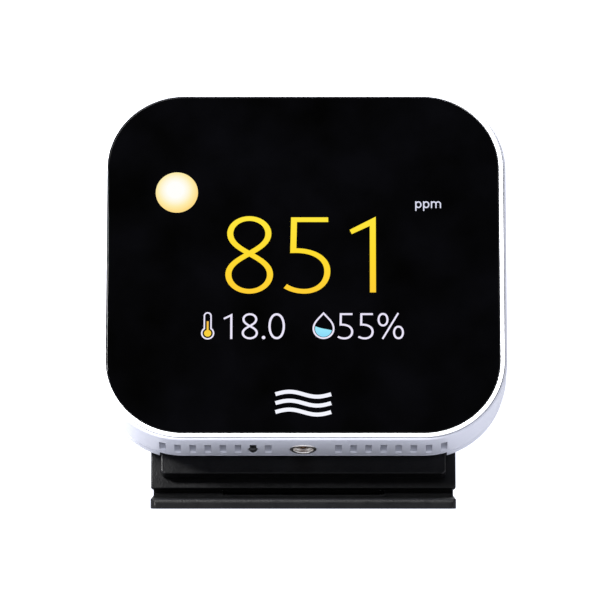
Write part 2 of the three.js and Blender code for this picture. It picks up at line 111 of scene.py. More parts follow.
CASE_CORNER = 19.6
GLASS_CORNER = 17.9
SHELL_FRONT = 0.35
SHELL_BACK = 11.7
SHELL_WALL = 1.8
EDGE_ROUND = 0.97
WINDOW = (-43.0, 43.0, -28.5, 28.5)  # the shell's opening behind the glass
COVER_INSET = 0.25
COVER_FRONT = 12.9
TONGUE_FRONT = 10.9
TONGUE_INSET = 2.1
TONGUE_WALL = 1.3
COVER_FLOOR = 1.5
RECESS_HALF = 33.7
RECESS_TOP = 16.3
RECESS_FLOOR = 13.0
HOOK_X = 16
VENTS = 10
VENT_PITCH = 4
STANDOFFS = [(-38, -31), (38, -31), (-38, 31), (38, 31)]
PLATE_SCREWS = [(-20, -30), (20, -30), (-20, 2), (20, 2)]
CASE_SCREW = {"head": 2.0, "shank": 1.0, "tip": 7.0, "seat": 15.1, "top": 16.2}
PLATE_SCREW = {"head": 2.4, "shank": 1.1, "tip": 14.2, "seat": 19.1, "top": 20.2}
SLOT_WIDTH = 1.55
SLOT_Y = (4.4, 9.9)
SLOT_X = [8.2 + 3.53 * i for i in range(8)]
BUTTON = (-SLOT_X[1], 7.5)
JACK_Y = 7.5
JACK_RADIUS = 3.1
BUTTON_RADIUS = 1.05
FOOT_TOP = HINGE.z - 2.4
PAD_RADIUS = 4.0
UPRIGHT_BACK = 20.4
BARREL = 2.1
BARREL_END = 35.2
PIN_BORE = 1.15
SKIRT = 1.43  # how far the upright's plate reaches below the hinge's axis
KNUCKLE_HALF = 18.0
SPAN = 40  # half the length of what is cut right across the stand
AXIS_GAP = 0.004  # radius that stands for a point on the axis of a turned solid

# ---- Solids, in millimetres -------------------------------------------------------------------


def outline(box, radii, inset=0.0, steps=20):
    """Points round a rectangle (x0, x1, z0, z1), with a radius for each corner from lower right."""
    x0, x1, z0, z1 = box
    spots = [(x1, z0, 1, -1), (x1, z1, 1, 1), (x0, z1, -1, 1), (x0, z0, -1, -1)]
    points = []
    for turn, (x, z, right, up) in enumerate(spots):
        radius = max(radii[turn] - inset, 0.03)
        for i in range(steps + 1):
            angle = math.radians(90 * (turn - 1 + i / steps))
            u = x - right * (inset + radius) + radius * math.cos(angle)
            v = z - up * (inset + radius) + radius * math.sin(angle)
            points.append((u, v))
    return points


def edge_profile(start, end, first, last, steps=6):
    """(inset, depth) pairs of a plate's side from start to end, with both its edges rounded."""
    turns = [math.pi / 2 * i / steps for i in range(steps + 1)]
    near = [(first * (1 - math.sin(t)), start + first * (1 - math.cos(t))) for t in turns]
    far = [(last * (1 - math.cos(t)), end - last * (1 - math.sin(t))) for t in turns]
    return near + far


def skin(rows, wrap=False):
    """A surface through loops of equally many points, with its two ends filled unless it wraps."""
    bm = bmesh.new()
    rings = [[bm.verts.new(p) for p in row] for row in rows]
    pairs = list(zip(rings, rings[1:]))
    if wrap:
        pairs.append((rings[-1], rings[0]))
    for a, b in pairs:
        for i in range(len(a)):
            bm.faces.new((a[i - 1], a[i], b[i], b[i - 1]))
    if not wrap:
        bm.faces.new(rings[0])
        bm.faces.new(rings[-1])
    bmesh.ops.recalc_face_normals(bm, faces=bm.faces)
    return bm


def at_depth(points, y):
    return [(u, y, v) for u, v in points]


def at_height(points, z):
    return [(u, v, z) for u, v in points]


def flat_box(corners):
    """(x0, x1, z0, z1) of a pair of corners."""
    low, high = corners
    return low.x, high.x, low.z, high.z


def plate(box, radii, profile, lay=at_depth, steps=20):
    return skin([lay(outline(box, radii, inset, steps), depth) for inset, depth in profile])


def turned(axis, centre, profile, steps=40, wrap=False):
    """A solid of revolution from (radius, distance along the axis) pairs."""
    order = {"x": (2, 0, 1), "y": (0, 2, 1), "z": (0, 1, 2)}[axis]
    rows = []
    for radius, along in profile:
        r = max(radius, AXIS_GAP)
        row = []
        for i in range(steps):
            angle = 2 * math.pi * i / steps
            local = (r * math.cos(angle), r * math.sin(angle), along)
            row.append(tuple(local[order[k]] + centre[k] for k in range(3)))
        rows.append(row)
    return skin(rows, wrap)


def rod(axis, centre, radius, start, end, edge=0.0, steps=40):
    """A cylinder with both its ends' edges rounded."""
    if edge == 0:
        return turned(axis, centre, [(radius, start), (radius, end)], steps)
    sides = edge_profile(start, end, edge, edge, 4)
    return turned(axis, centre, [(radius - inset, along) for inset, along in sides], steps)


def block(x, y, z):
    rows = []
    for v in z:
        rows.append([(x[0], y[0], v), (x[1], y[0], v), (x[1], y[1], v), (x[0], y[1], v)])
    return skin(rows)


def scratch(bm):
    mesh = bpy.data.meshes.new("scratch")
    bm.to_mesh(mesh)
    bm.free()
    obj = bpy.data.objects.new("scratch", mesh)
    bpy.context.scene.collection.objects.link(obj)
    return obj


def together(parts):
    """Several meshes as one, without joining their volumes."""
    whole = bmesh.new()
    for part in parts:
        mesh = bpy.data.meshes.new("part")
        part.to_mesh(mesh)
        part.free()
        whole.from_mesh(mesh)
        bpy.data.meshes.remove(mesh)
    return whole


def combine(base, tools, operation="DIFFERENCE"):
    """base with all the tools cut from it, or joined to it."""
    body = scratch(base)
    other = scratch(together(tools))
    modifier = body.modifiers.new("combine", "BOOLEAN")
    modifier.operation = operation
    modifier.solver = "EXACT"
    modifier.use_self = True
    modifier.object = other
    bpy.context.view_layer.update()
    result = bmesh.new()
    result.from_object(body, bpy.context.evaluated_depsgraph_get())
    for obj in (body, other):
        mesh = obj.data
        bpy.data.objects.remove(obj)
        bpy.data.meshes.remove(mesh)
    bmesh.ops.remove_doubles(result, verts=result.verts, dist=1e-4)
    return result


def soften(bm, width, where, steps=2, least=40):
    """Rounds the sharp edges whose two ends both lie where the test says."""
    edges = []
    for edge in bm.edges:
        if len(edge.link_faces) == 2 and all(where(v.co) for v in edge.verts):
            if edge.calc_face_angle(0) > math.radians(least):
                edges.append(edge)
    bmesh.ops.bevel(
        bm, geom=edges, offset=width, offset_type="OFFSET", segments=steps, profile=0.5,
        affect="EDGES", clamp_overlap=True,
    )
    return bm


def piece(name, bm, body, place, material, stands_for=(), sharp=32):
    """Makes the finished object, in metres, riding on a CAD body in place of CAD nodes."""
    bmesh.ops.recalc_face_normals(bm, faces=bm.faces)
    bmesh.ops.transform(bm, matrix=place @ Matrix.Scale(MM, 4), verts=bm.verts)
    mesh = bpy.data.meshes.new(name)
    bm.to_mesh(mesh)
    bm.free()
    mesh.shade_smooth()
    mesh.set_sharp_from_angle(angle=math.radians(sharp))
    mesh.materials.append(material)
    obj = bpy.data.objects.new(name, mesh)
    bpy.context.scene.collection.objects.link(obj)
    weighted = obj.modifiers.new("normals", "WEIGHTED_NORMAL")
    weighted.keep_sharp = True
    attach(obj, body)
    if stands_for:
        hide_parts(*stands_for)
    return obj


# ---- Materials --------------------------------------------------------------------------------


def srgb(red, green, blue):
    """A display colour, 0 to 255, as linear RGBA."""
    linear = []
    for part in (red / 255, green / 255, blue / 255):
        linear.append(part / 12.92 if part <= 0.04045 else ((part + 0.055) / 1.055) ** 2.4)
    return (*linear, 1.0)


class Finish:
    """A Principled material, and the nodes that feed it."""

    def __init__(self, name, roughness=0.5, metallic=0.0, specular=0.5):
        self.material = bpy.data.materials.new(name)
        self.material.use_nodes = True
        self.tree = self.material.node_tree
        self.shader = self.tree.nodes["Principled BSDF"]
        self.set("Roughness", roughness)
        self.set("Metallic", metallic)
        self.set("Specular IOR Level", specular)

    def set(self, socket, value):
        self.shader.inputs[socket].default_value = value

    def node(self, kind, **values):
        made = self.tree.nodes.new(kind)
        for name, value in values.items():
            made.inputs[name].default_value = value
        return made

    def join(self, output, target):
        self.tree.links.new(output, target)

    def place(self, stretch=(1, 1, 1)):
        coordinates = self.node("ShaderNodeTexCoord")
        mapping = self.node("ShaderNodeMapping", Scale=stretch)
        self.join(coordinates.outputs["Object"], mapping.inputs["Vector"])
        return mapping.outputs["Vector"]

    def noise(self, size, detail=3.0, stretch=(1, 1, 1)):
        """Noise whose features are size millimetres across."""
        texture = self.node("ShaderNodeTexNoise", Scale=1 / (size * MM), Detail=detail)
        self.join(self.place(stretch), texture.inputs["Vector"])
        return texture.outputs["Fac"]

    def cells(self, size):
        texture = self.node("ShaderNodeTexVoronoi", Scale=1 / (size * MM))
        self.join(self.place(), texture.inputs["Vector"])
        return texture.outputs["Distance"]

    def blend(self, value, first, second, low=0.3, high=0.7):
        """Base colour from first to second as the value goes from low to high."""
        ramp = self.node("ShaderNodeValToRGB")
        ramp.color_ramp.elements[0].position = low
        ramp.color_ramp.elements[0].color = first
        ramp.color_ramp.elements[1].position = high
        ramp.color_ramp.elements[1].color = second
        self.join(value, ramp.inputs["Fac"])
        self.join(ramp.outputs["Color"], self.shader.inputs["Base Color"])

    def vary(self, socket, value, low, high):
        ranged = self.node("ShaderNodeMapRange")
        ranged.inputs["From Min"].default_value = 0.3
        ranged.inputs["From Max"].default_value = 0.7
        ranged.inputs["To Min"].default_value = low
        ranged.inputs["To Max"].default_value = high
        self.join(value, ranged.inputs["Value"])
        self.join(ranged.outputs["Result"], self.shader.inputs[socket])

    def bump(self, value, depth):
        """Surface relief, depth millimetres high."""
        relief = self.node("ShaderNodeBump", Strength=1.0, Distance=depth * MM, Height=0.5)
        self.join(value, relief.inputs["Height"])
        self.join(relief.outputs["Normal"], self.shader.inputs["Normal"])


def moulded(name, light, dark, roughness, grain=0.25, depth=0.004, specular=0.5):
    """Moulded plastic: slow tint changes, a fine spark-eroded grain and patchy gloss."""
    made = Finish(name, specular=specular)
    made.blend(made.noise(9.0, 4.0), dark, light)
    made.vary("Roughness", made.noise(2.2, 5.0), roughness - 0.05, roughness + 0.05)
    made.bump(made.noise(grain, 2.0), depth)
    return made.material


def metal(name, light, dark, roughness, stretch=(1, 1, 1), size=0.3, depth=0.002):
    """Plated or turned metal with fine tool marks."""
    made = Finish(name, metallic=1.0)
    made.blend(made.noise(1.5, 4.0), dark, light)
    made.vary("Roughness", made.noise(size, 4.0, stretch), roughness - 0.06, roughness + 0.08)
    made.bump(made.noise(size, 3.0, stretch), depth)
    return made.material


def polished_glass():
    """Black-printed cover glass with a faint haze of handling."""
    made = Finish("front_glass", specular=0.15)
    made.blend(made.noise(14.0), srgb(1, 1, 1), srgb(3, 3, 4))
    made.vary("Roughness", made.noise(7.0, 6.0), 0.03, 0.07)
    return made.material


def circuit_board():
    made = Finish("board_green", roughness=0.42)
    made.blend(made.cells(2.4), srgb(196, 170, 92), srgb(20, 84, 44), 0.08, 0.13)
    made.bump(made.noise(0.8, 5.0, (1, 1, 6)), 0.02)
    return made.material


def flat_cable():
    made = Finish("ribbon_amber", roughness=0.38)
    stripes = (1, 0.02, 0.02)
    made.blend(made.noise(0.9, 1.0, stripes), srgb(150, 86, 32), srgb(190, 122, 56), 0.42, 0.58)
    made.bump(made.noise(0.9, 1.0, stripes), 0.02)
    return made.material


def make_finishes():
    """Every material by its name, which is also the name of its slot."""
    white = srgb(226, 228, 236)
    made = [
        moulded("shell_white", white, srgb(221, 223, 232), 0.36, 0.2, 0.0012),
        moulded("bezel_white", srgb(246, 247, 250), srgb(241, 242, 246), 0.26, 0.3, 0.0008),
        moulded("cover_white", white, srgb(219, 221, 229), 0.46, 0.3, 0.006),
        polished_glass(),
        moulded("stand_black", srgb(8, 8, 9), srgb(5, 5, 6), 0.38, 0.42, 0.06, 0.25),
        moulded("button_black", srgb(20, 20, 21), srgb(14, 14, 15), 0.28, 0.3, 0.002),
        moulded("jack_black", srgb(22, 22, 23), srgb(15, 15, 16), 0.5, 0.3, 0.006),
        metal("jack_nickel", srgb(244, 241, 236), srgb(228, 223, 216), 0.3),
        metal("jack_brass", srgb(164, 122, 92), srgb(120, 84, 60), 0.24),
        metal("screw_steel", srgb(176, 178, 182), srgb(140, 142, 148), 0.3),
        moulded("pad_rubber", srgb(38, 38, 39), srgb(26, 26, 27), 0.82, 0.5, 0.03, 0.3),
        moulded("tape_black", srgb(30, 30, 31), srgb(20, 20, 21), 0.86, 0.4, 0.02, 0.2),
        moulded("lcd_dark", srgb(40, 44, 52), srgb(32, 35, 42), 0.22, 0.5, 0.001),
        moulded("diffuser_white", srgb(240, 240, 236), srgb(230, 231, 228), 0.6, 0.3, 0.01),
        moulded("inner_plastic", srgb(216, 216, 210), srgb(204, 204, 198), 0.56, 0.3, 0.01),
        flat_cable(),
        circuit_board(),
        metal("shield_tin", srgb(196, 198, 202), srgb(168, 170, 176), 0.3, (1, 8, 8), 0.8),
        moulded("chip_black", srgb(28, 28, 30), srgb(20, 20, 22), 0.62, 0.2, 0.008),
    ]
    # Blender adds a number to a name that is already taken.
    return {material.name.split(".")[0]: material for material in made}


FINISHES = make_finishes()


def case_piece(name, bm, slot, body="head", sharp=32):
    """A finished piece in the case's frame, in place of the CAD node of that name."""
    return piece(f"{name}_body", bm, body, CASE, FINISHES[slot], [name], sharp)


def foot_piece(name, bm, slot, sharp=32):
    """A finished piece in the row frame, in place of the CAD node of that name."""
    return piece(f"{name}_body", bm, "foot", ROW, FINISHES[slot], [name], sharp)


# ---- Case -------------------------------------------------------------------------------------

CASE_OUTLINE = flat_box(SHELL)


def case_loop(inset, depth, steps=28):
    return at_depth(outline(CASE_OUTLINE, [CASE_CORNER] * 4, inset, steps), depth)


def window_loop(depth):
    return at_depth(outline(WINDOW, [1.5] * 4, 0.0, 28), depth)


def inside_of_outline(point):
    """How far a point lies inside the case's outline, seen along the case's depth."""
    half_x = CASE_OUTLINE[1] - CASE_CORNER
    half_z = CASE_OUTLINE[3] - CASE_CORNER
    beyond_x = max(abs(point.x) - half_x, 0.0)
    beyond_z = max(abs(point.z) - half_z, 0.0)
    return CASE_CORNER - math.hypot(beyond_x, beyond_z)


def shell_body():
    pocket = 0.46
    start = math.asin((EDGE_ROUND - pocket) / EDGE_ROUND)
    rows = []
    for i in range(9):
        turn = start + (math.pi / 2 - start) * i / 8
        inset = EDGE_ROUND * (1 - math.sin(turn))
        rows.append(case_loop(inset, SHELL_FRONT + EDGE_ROUND * (1 - math.cos(turn))))
    sides = [(0.0, SHELL_BACK - 0.15), (0.05, SHELL_BACK - 0.04), (0.15, SHELL_BACK)]
    sides += [(SHELL_WALL - 0.15, SHELL_BACK), (SHELL_WALL, SHELL_BACK - 0.15), (SHELL_WALL, 3.1)]
    rows += [case_loop(inset, depth) for inset, depth in sides]
    rows += [window_loop(3.1), window_loop(1.9)]
    rows += [case_loop(1.5, 1.9), case_loop(1.5, 1.2), case_loop(pocket, 1.2)]
    return skin(rows, wrap=True)


def bottom_wall():
    floor = CASE_OUTLINE[2]
    return floor - 1, floor + SHELL_WALL + 1


def slot_lip(centre):
    """The wedge that slopes a slot's rear rim, on the flat or rounded part of the underside."""
    beyond = max(abs(centre) - CASE_OUTLINE[1] + CASE_CORNER, 0)
    floor = CASE_OUTLINE[2] + CASE_CORNER - math.sqrt(CASE_CORNER ** 2 - beyond ** 2)
    rear = SLOT_Y[1]
    side = [(rear - 0.5, floor - 1), (rear + 0.4, floor - 1), (rear + 0.4, floor - 0.02)]
    side += [(rear - 0.02, floor + 0.4), (rear - 0.5, floor + 0.4)]
    half = SLOT_WIDTH / 2
    return skin([[(x, y, z) for y, z in side] for x in (centre - half, centre + half)])


def shell_openings():
    wall = bottom_wall()
    tools = []
    for centre in [side * x for x in SLOT_X for side in (-1, 1)]:
        tools.append(block((centre - SLOT_WIDTH / 2, centre + SLOT_WIDTH / 2), SLOT_Y, wall))
        tools.append(slot_lip(centre))
    tools.append(rod("z", (BUTTON[0], BUTTON[1], 0), 1.3, *wall))
    tools.append(rod("z", (0, JACK_Y, 0), JACK_RADIUS + 0.08, *wall, steps=56))
    tools.append(block((-2.05, 2.05), (JACK_Y, SHELL_BACK + 1), wall))
    return tools


def standoff(x, z):
    """A screw post on the back of the shell's front wall, with a blind hole from behind."""
    start = 2.6
    end = 13.7
    profile = [(0, start), (2.5, start), (2.5, end - 0.2), (2.3, end), (1.15, end), (1.15, 6.5), (0, 6.5)]
    return turned("y", (x, 0, z), profile)


def build_shell():
    shell = combine(shell_body(), shell_openings())
    flat = CASE_OUTLINE[2] + 0.1
    soften(shell, 0.1, lambda p: inside_of_outline(p) < 0.04 and p.z < flat and 3.9 < p.y < 11.0)
    shell = combine(shell, [standoff(x, z) for x, z in STANDOFFS], "UNION")
    case_piece("front_shell", shell, "shell_white")


def build_bezel():
    box = flat_box(BEZEL)
    deep = BEZEL[1].y
    around = [(0.16, 0.0), (0.08, 0.02), (0.02, 0.07), (0.0, 0.15), (0.0, deep), (0.9, deep)]
    around += [(0.9, 0.12), (0.87, 0.03), (0.8, 0.0)]
    rows = [at_depth(outline(box, [GLASS_CORNER + 1.1] * 4, inset, 28), y) for inset, y in around]
    case_piece("front_bezel", skin(rows, wrap=True), "bezel_white", sharp=50)


def build_glass():
    profile = edge_profile(GLASS[0].y, GLASS[1].y, 0.16, 0.12, 4)
    glass = plate(flat_box(GLASS), [GLASS_CORNER] * 4, profile, steps=28)
    case_piece("cover_glass", glass, "front_glass")


def cover_body():
    back = COVER[1].y
    edge = 1.5
    outside = [(TONGUE_INSET, TONGUE_FRONT), (TONGUE_INSET, COVER_FRONT)]
    outside += [(COVER_INSET + 0.12, COVER_FRONT), (COVER_INSET, COVER_FRONT + 0.12)]
    for i in range(9):
        turn = math.pi / 2 * i / 8
        inset = COVER_INSET + edge * (1 - math.cos(turn))
        outside.append((inset, back - edge * (1 - math.sin(turn))))
    inner = TONGUE_INSET + TONGUE_WALL
    inside = [(inner, back - COVER_FLOOR), (inner, TONGUE_FRONT)]
    return skin([case_loop(inset, depth) for inset, depth in inside + outside])


def cover_additions():
    back = COVER[1].y
    wide = RECESS_HALF + COVER_FLOOR
    floor = CASE_OUTLINE[2] + TONGUE_INSET + 0.05
    boss = block((-wide, wide), (RECESS_FLOOR - COVER_FLOOR, back - 0.6), (floor, RECESS_TOP + 1.5))
    pads = [rod("y", (x, 0, z), 3.2, 14.0, back - 1) for x, z in STANDOFFS]
    return [boss] + pads


def cover_openings():
    """The plate's pocket, its two hook pockets, the jack's room, the screw holes and the vents."""
    tools = [block((-RECESS_HALF, RECESS_HALF), (RECESS_FLOOR, 18), (-60, RECESS_TOP))]
    for side in (-1, 1):
        middle = side * HOOK_X
        tools.append(block((middle - 4.5, middle + 4.5), (13.3, 15.3), (15.3, 19.3)))
    tools.append(block((-5.2, 5.2), (9.9, 11.45), (-60, -30)))
    for x, z in STANDOFFS:
        hole = [(0, 10), (1.3, 10), (1.3, 14.9), (2.3, 14.9), (2.3, 20), (0, 20)]
        tools.append(turned("y", (x, 0, z), hole))
    for i in range(VENTS):
        x = VENT_PITCH * (i - (VENTS - 1) / 2)
        tools.append(plate((x - 0.8, x + 0.8, 25, 34), [0.7] * 4, [(0, 14), (0, 18)], steps=5))
    return tools


def build_cover():
    cover = combine(cover_body(), cover_additions(), "UNION")
    cover = combine(cover, cover_openings())
    back = COVER[1].y
    soften(cover, 0.22, lambda p: abs(p.y - back) < 1e-3 and inside_of_outline(p) > 2.4)
    case_piece("back_cover", cover, "cover_white")


# ---- Screws -----------------------------------------------------------------------------------


def screw(x, z, head, shank, tip, seat, top):
    """A pan-head screw along the case's depth, with a cross recess in its head."""
    profile = [(0, tip), (shank * 0.6, tip), (shank, tip + 0.5), (shank, seat), (head, seat)]
    for i in range(7):
        turn = math.pi / 2 * i / 6
        profile.append((head * (0.82 + 0.18 * math.cos(turn)), top - 0.45 + 0.33 * math.sin(turn)))
    profile += [(head * 0.5, top - 0.03), (0, top)]
    body = turned("y", (x, 0, z), profile)
    arm = head * 0.6
    half = 0.22
    deep = (top - 0.6, top + 1)
    across = block((x - arm, x + arm), deep, (z - half, z + half))
    along = block((x - half, x + half), deep, (z - arm, z + arm))
    return combine(body, [across, along])


def build_screws():
    for i, (x, z) in enumerate(STANDOFFS, 1):
        case_piece(f"case_screw_{i}", screw(x, z, **CASE_SCREW), "screw_steel")
    for i, (x, z) in enumerate(PLATE_SCREWS, 1):
        case_piece(f"plate_screw_{i}", screw(x, z, **PLATE_SCREW), "screw_steel")


# ---- Power jack and reset button --------------------------------------------------------------


JACK_AXIS = (0, JACK_Y, 0)
JACK_MOUTH = CASE_OUTLINE[2] - 0.25


def jack_ring():
    """The plated sleeve, with a round lip that stands a little proud of the case."""
    lip = 0.38
    lip_centre = 2.72
    bore = 2.1
    end = -34.0
    ring = [(JACK_RADIUS, end)]
    for i in range(11):
        turn = math.pi * i / 10
        ring.append((lip_centre + lip * math.cos(turn), JACK_MOUTH + lip * (1 - math.sin(turn))))
    ring += [(2.34, JACK_MOUTH + 0.9), (bore, JACK_MOUTH + 1.3), (bore, end)]
    return turned("z", JACK_AXIS, ring, 64, True)


def jack_pin():
    """The centre contact, with a rounded tip just inside the sleeve's mouth."""
    tip = JACK_MOUTH + 0.35
    end = -32.6
    pin = [(0, tip), (0.34, tip + 0.05), (0.62, tip + 0.22), (0.82, tip + 0.52), (0.9, tip + 0.9)]
    return turned("z", JACK_AXIS, pin + [(0.9, end), (0, end)])


def jack_housing():
    """The moulded housing behind the sleeve, with a tongue that closes the shell's notch."""
    low, high = case_box("power_jack_body")
    body = plate((-4.6, 4.6, 3.4, high.y), [0.5] * 4, [(0, -41.2), (0, -31.0)], at_height, 5)
    tongue = plate((-1.85, 1.85, JACK_Y, high.y), [0.3] * 4, [(0, low.z), (0, -41.0)], at_height, 4)
    body = combine(body, [tongue], "UNION")
    sleeve_room = rod("z", JACK_AXIS, JACK_RADIUS + 0.1, -50, -33.7, steps=56)
    pin_room = rod("z", JACK_AXIS, 1.05, -34, -32.3)
    return combine(body, [sleeve_room, pin_room])


def build_jack():
    case_piece("power_jack_ring", jack_ring(), "jack_nickel", sharp=60)
    case_piece("power_jack_pin", jack_pin(), "jack_brass")
    case_piece("power_jack_body", jack_housing(), "jack_black")


def build_button():
    """A round dome on a stem, with a flange and web that keep it in the shell."""
    x, y = BUTTON
    low = case_box("reset_button")[0].z
    stem_end = -41.0
    dome = []
    for i in range(9):
        turn = math.pi / 2 * i / 8
        dome.append((BUTTON_RADIUS * math.sin(turn), low + BUTTON_RADIUS * (1 - math.cos(turn))))
    stem = turned("z", (x, y, 0), dome + [(BUTTON_RADIUS, stem_end), (0, stem_end)], 48)
    web = plate((x - 0.5, x + 0.5, 4.7, y), [0.12] * 4, [(0, -42.9), (0, stem_end)], at_height, 3)
    flange = plate((x - 1.4, x + 1.4, 4.0, 9.2), [0.3] * 4, [(0, -41.3), (0, -40.6)], at_height, 4)
    button = combine(stem, [web, flange], "UNION")
    case_piece("reset_button", button, "button_black", body="button")


# ---- Stand ------------------------------------------------------------------------------------


def build_mount_plate():
    """The plate that hooks into the back cover and takes the upright's screws."""
    profile = edge_profile(PLATE[0].y, PLATE[1].y, 0.35, 0.2)
    low = PLATE[0].z
    high = 15.9
    body = plate((PLATE[0].x, PLATE[1].x, low, high), [1.2] * 4, profile, steps=8)
    hooks = []
    for side in (-1, 1):
        middle = side * HOOK_X
        hooks.append(block((middle - 4, middle + 4), (13.7, 15.0), (high - 2, high + 2.6)))
    body = combine(body, hooks, "UNION")
    body = combine(body, [rod("y", (x, 0, z), 1.25, 13.9, 18) for x, z in PLATE_SCREWS])
    case_piece("mount_plate", body, "stand_black")


def upright_openings(centre):
    """The pin's bore, the shallow panel on the back and the stepped holes of the screws."""
    back = UPRIGHT_BACK
    tools = [rod("x", centre, PIN_BORE, -SPAN, SPAN)]
    panel = [(0.2, back - 1.0), (0.0, back - 0.1), (-0.3, back + 0.2)]
    tools.append(plate((-23, 23, -22, -6), [3.0] * 4, panel, steps=8))
    for x, z in PLATE_SCREWS:
        room = [(0, 16), (1.5, 16), (1.5, 18.9), (2.7, 18.9)]
        room += [(2.7, 20.15), (3.1, 20.55), (0, 20.55)]
        tools.append(turned("y", (x, 0, z), room))
    return tools


def build_upright():
    low, high = UPRIGHT
    radii = [0.6, 6.0, 6.0, 0.6]
    profile = edge_profile(low.y, UPRIGHT_BACK, 0.3, 0.5)
    centre = (0, HINGE_IN_CASE.y, HINGE_IN_CASE.z)
    body = plate((low.x, high.x, centre[2] - SKIRT, high.z), radii, profile, steps=14)
    rooms = []
    for side in (-1, 1):
        rooms.append(rod("x", centre, 2.4, side * SPAN, side * KNUCKLE_HALF, steps=56))
    body = combine(body, rooms)
    knuckle = rod("x", centre, BARREL, -KNUCKLE_HALF, KNUCKLE_HALF, 0.2, steps=56)
    body = combine(body, [knuckle], "UNION")
    case_piece("stand_upright", combine(body, upright_openings(centre)), "stand_black")


HINGE_AXIS = (0, HINGE.y, HINGE.z)


def cradle(half):
    """A low trough on the foot that the middle knuckle turns in, with a guard at each end."""
    bottom = FOOT_TOP - 0.5
    trough = block((-half, half), (HINGE.y - 2.1, HINGE.y + 2.1), (bottom, FOOT_TOP + 0.5))
    guards = []
    for side in (-1, 1):
        ends = sorted((side * (half - 1.5), side * half))
        guards.append(block(ends, (HINGE.y + 1.9, HINGE.y + 2.8), (bottom, FOOT_TOP + 1.6)))
    trough = combine(trough, guards, "UNION")
    return combine(trough, [rod("x", HINGE_AXIS, BARREL + 0.12, -SPAN, SPAN, steps=56)])


def front_round(front, radius):
    """What is cut from the foot to round its top front edge."""
    side = [(front - 1, FOOT_TOP - radius), (front, FOOT_TOP - radius)]
    for i in range(1, 11):
        turn = math.pi / 2 * i / 10
        side.append((front + radius * (1 - math.cos(turn)), FOOT_TOP - radius * (1 - math.sin(turn))))
    side += [(front + radius, FOOT_TOP + 1), (front - 1, FOOT_TOP + 1)]
    return skin([[(x, y, z) for y, z in side] for x in (-SPAN, SPAN)])


def build_foot():
    """A thin plate with the hinge's outer barrels, its trough and seats for the rubber feet."""
    low, high = FOOT
    box = (low.x, high.x, low.y, high.y)
    profile = edge_profile(low.z, FOOT_TOP, 0.18, 0.3)
    body = plate(box, [1.6] * 4, profile, at_height, 12)
    start = KNUCKLE_HALF + 1.0
    knuckles = [cradle(start + 0.2)]
    for side in (-1, 1):
        ends = sorted((side * start, side * BARREL_END))
        knuckles.append(rod("x", HINGE_AXIS, BARREL, *ends, 0.2, steps=56))
        knuckles.append(block(ends, (HINGE.y - 1.5, HINGE.y + 1.5), (FOOT_TOP - 0.5, HINGE.z)))
    body = combine(body, knuckles, "UNION")
    tools = [rod("x", HINGE_AXIS, PIN_BORE, -SPAN, SPAN)]
    tools += [rod("z", (x, y, 0), PAD_RADIUS + 0.15, -1, 1.0) for x, y in pad_places()]
    tools.append(front_round(low.y, 1.25))
    foot_piece("foot_plate", combine(body, tools), "stand_black")


def pad_places():
    places = []
    for i in range(1, 5):
        low, high = row_box(f"foot_pad_{i}")
        places.append(((low.x + high.x) / 2, (low.y + high.y) / 2))
    return places


def build_pads():
    """Rubber feet with a rounded rim and two ring-shaped grip grooves underneath."""
    top = row_box("foot_pad_1")[1].z
    profile = [(0, 0.06), (1.0, 0.06), (1.15, 0.2), (1.45, 0.2), (1.6, 0.0), (2.4, 0.0)]
    profile += [(2.55, 0.2), (2.85, 0.2), (3.0, 0.0), (3.7, 0.0), (3.92, 0.1), (PAD_RADIUS, 0.3)]
    profile += [(PAD_RADIUS, top), (0, top)]
    for i, (x, y) in enumerate(pad_places(), 1):
        foot_piece(f"foot_pad_{i}", turned("z", (x, y, 0), profile, 48), "pad_rubber", sharp=40)


def build_hinge():
    low, high = row_box("hinge_pin")
    foot_piece("hinge_pin", rod("x", HINGE_AXIS, 1.0, low.x, high.x, 0.25, 32), "screw_steel")
    for side in ("left", "right"):
        low, high = row_box(f"friction_washer_{side}")
        ring = [(PIN_BORE, low.x), (1.8, low.x), (1.9, low.x + 0.1)]
        ring += [(1.9, high.x - 0.1), (1.8, high.x), (PIN_BORE, high.x)]
        washer = turned("x", HINGE_AXIS, ring, 40, True)
        foot_piece(f"friction_washer_{side}", washer, "stand_black")


# ---- Display ----------------------------------------------------------------------------------

MARK_FRONT = GLASS[0].y - 0.03
MARK_BACK = GLASS[0].y - 0.004
KAPPA = 0.5523


def curve(start, first, second, end, steps=12):
    """Points along a cubic curve, without its last point."""
    points = []
    for i in range(steps):
        t = i / steps
        weights = ((1 - t) ** 3, 3 * t * (1 - t) ** 2, 3 * t * t * (1 - t), t ** 3)
        corners = (start, first, second, end)
        points.append(tuple(sum(w * c[k] for w, c in zip(weights, corners)) for k in (0, 1)))
    return points


def arc(centre, radius_u, radius_v, start, end, steps=24):
    points = []
    for i in range(steps + 1):
        angle = math.radians(start + (end - start) * i / steps)
        points.append((centre[0] + radius_u * math.cos(angle), centre[1] + radius_v * math.sin(angle)))
    return points


def normal_at(points, i, closed):
    """The mitred normal of a path at its point i."""
    last = len(points) - 1
    before = points[i - 1] if closed or i > 0 else points[i]
    after = points[(i + 1) % len(points)] if closed or i < last else points[i]
    here = points[i]
    sides = []
    for a, b in ((before, here), (here, after)):
        if a != b:
            way = Vector((b[0] - a[0], b[1] - a[1])).normalized()
            sides.append(Vector((-way.y, way.x)))
    middle = (sides[0] + sides[-1]).normalized()
    return middle / max(middle.dot(sides[0]), 0.35)


def beside(points, across, tall, closed):
    """The path moved to its left by half a stroke that is across wide and tall high."""
    moved = []
    for i, (u, v) in enumerate(points):
        normal = normal_at(points, i, closed)
        moved.append((u + normal.x * across / 2, v + normal.y * tall / 2))
    return moved


